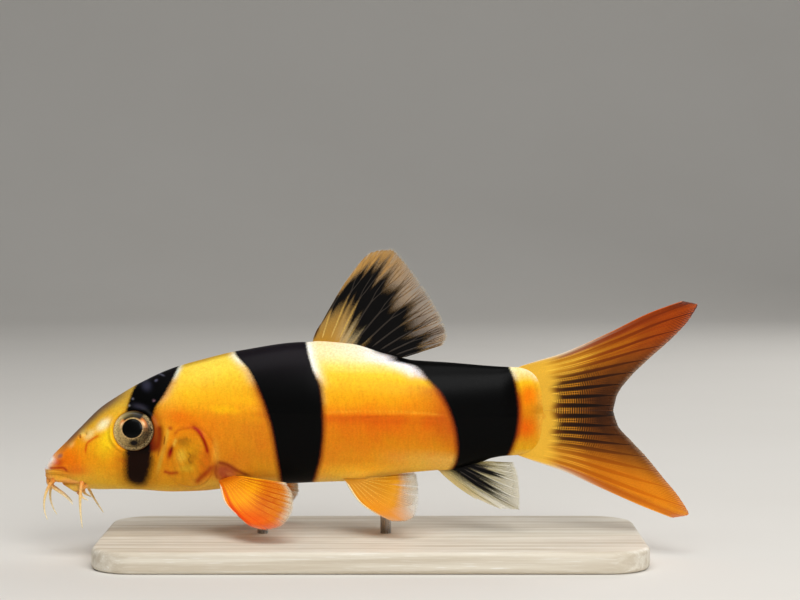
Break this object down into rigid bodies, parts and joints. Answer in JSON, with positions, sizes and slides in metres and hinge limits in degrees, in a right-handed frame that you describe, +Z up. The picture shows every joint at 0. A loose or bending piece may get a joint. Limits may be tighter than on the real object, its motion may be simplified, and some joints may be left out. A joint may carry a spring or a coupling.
{
  "type": "clown loach, life-size museum model on a stand",
  "caption": "Still, life-size model of a young clown loach swimming level, held just over a flat display base by slim rods under its belly.",
  "frame": {"origin": "middle of the underside of the display stand's base, under the middle of the fish's length", "axes": "+Z up, +X from the snout towards the tail, so the fish faces -X and its left flank looks along -Y"},
  "size_m": [0.1204, 0.044, 0.0566],
  "materials": {
    "fish_skin": "painted resin, wet-looking gloss, golden orange with three dark brown-black bands",
    "fish_fin": "thin translucent membrane over raised rays, orange, satin gloss",
    "dark_fin": "thin translucent membrane over raised rays, black fading to clear, satin gloss",
    "barbel_flesh": "soft flesh, pale orange, gloss",
    "eye": "clear gloss over a black pupil and a bronze iris",
    "stand_wood": "limed ash, fine satin grain",
    "stand_steel": "drawn steel rod, satin"
  },
  "bodies": {
    "root": {"head": "fish_skin", "torso": "fish_skin", "tail_stem": "fish_skin", "gill_cover_left": "fish_skin", "gill_cover_right": "fish_skin", "eye_left": "eye", "eye_right": "eye", "dorsal_fin": "dark_fin", "anal_fin": "dark_fin", "tail_fin_upper": "fish_fin", "tail_fin_lower": "fish_fin", "pectoral_fin_left": "fish_fin", "pectoral_fin_right": "fish_fin", "pelvic_fin_left": "fish_fin", "pelvic_fin_right": "fish_fin", "barbel_rostral_outer_left": "barbel_flesh", "barbel_rostral_outer_right": "barbel_flesh", "barbel_rostral_inner_left": "barbel_flesh", "barbel_rostral_inner_right": "barbel_flesh", "barbel_maxillary_left": "barbel_flesh", "barbel_maxillary_right": "barbel_flesh", "barbel_mandibular_left": "barbel_flesh", "barbel_mandibular_right": "barbel_flesh", "stand_base": "stand_wood", "stand_rod_front": "stand_steel", "stand_rod_rear": "stand_steel"}
  },
  "joints": []
}
